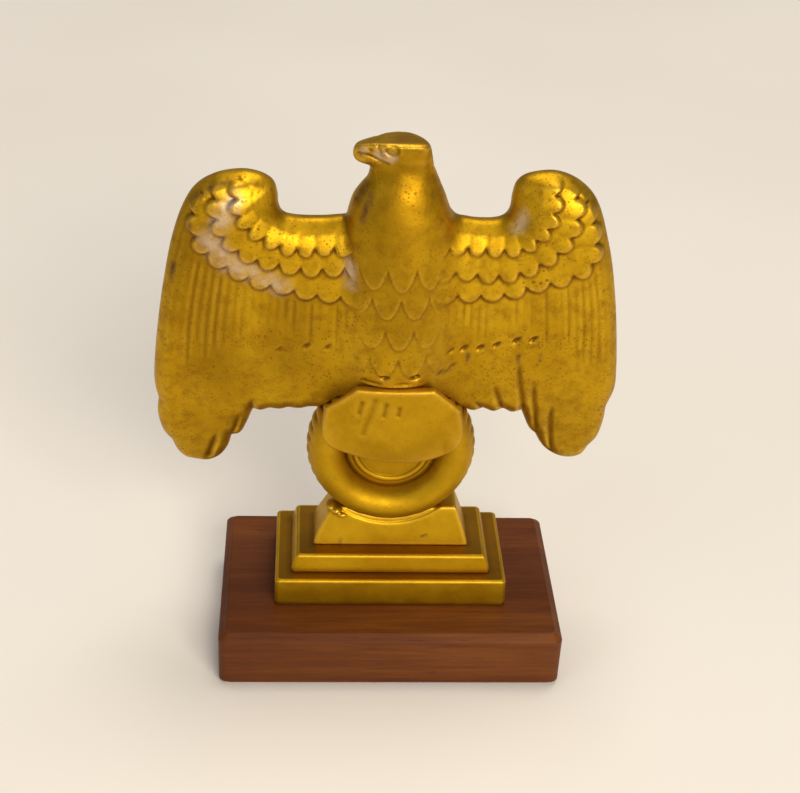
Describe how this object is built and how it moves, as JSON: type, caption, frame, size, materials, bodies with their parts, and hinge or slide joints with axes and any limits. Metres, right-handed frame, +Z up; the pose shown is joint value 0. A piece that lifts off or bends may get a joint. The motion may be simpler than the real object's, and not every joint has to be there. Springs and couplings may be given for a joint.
{
  "type": "hood ornament",
  "caption": "Cast gilt eagle with drooping wings, standing on a ring above a stepped metal plinth, mounted on a chamfered wooden display base.",
  "frame": {"origin": "middle of the felt pad's underside, on the surface that the object stands on", "axes": "+X to the right and +Y away when the tail side is looked at, +Z up"},
  "size_m": [0.1324, 0.0608, 0.1636],
  "materials": {
    "gilt": "aged satin gilding with dark pits and worn edges",
    "wood": "red-brown hardwood, satin lacquer",
    "felt": "red-brown baize",
    "steel": "zinc plated, dull"
  },
  "bodies": {
    "root": {"felt_pad": "felt", "wood_base": "wood", "mounting_stud_left": "steel", "mounting_stud_right": "steel", "mounting_washer_left": "steel", "mounting_washer_right": "steel", "mounting_nut_left": "steel", "mounting_nut_right": "steel", "plinth_foot": "gilt", "plinth_step": "gilt", "plinth_saddle": "gilt", "tie_washer": "steel", "tie_bolt": "steel", "ring": "gilt", "ring_disc": "gilt", "ring_pin_left": "steel", "ring_pin_right": "steel", "eagle_body": "gilt", "left_wing": "gilt", "right_wing": "gilt", "left_wing_pin_lower": "steel", "left_wing_pin_upper": "steel", "right_wing_pin_lower": "steel", "right_wing_pin_upper": "steel", "left_leg": "gilt", "right_leg": "gilt", "tail": "gilt", "tail_pin": "steel"}
  },
  "joints": []
}
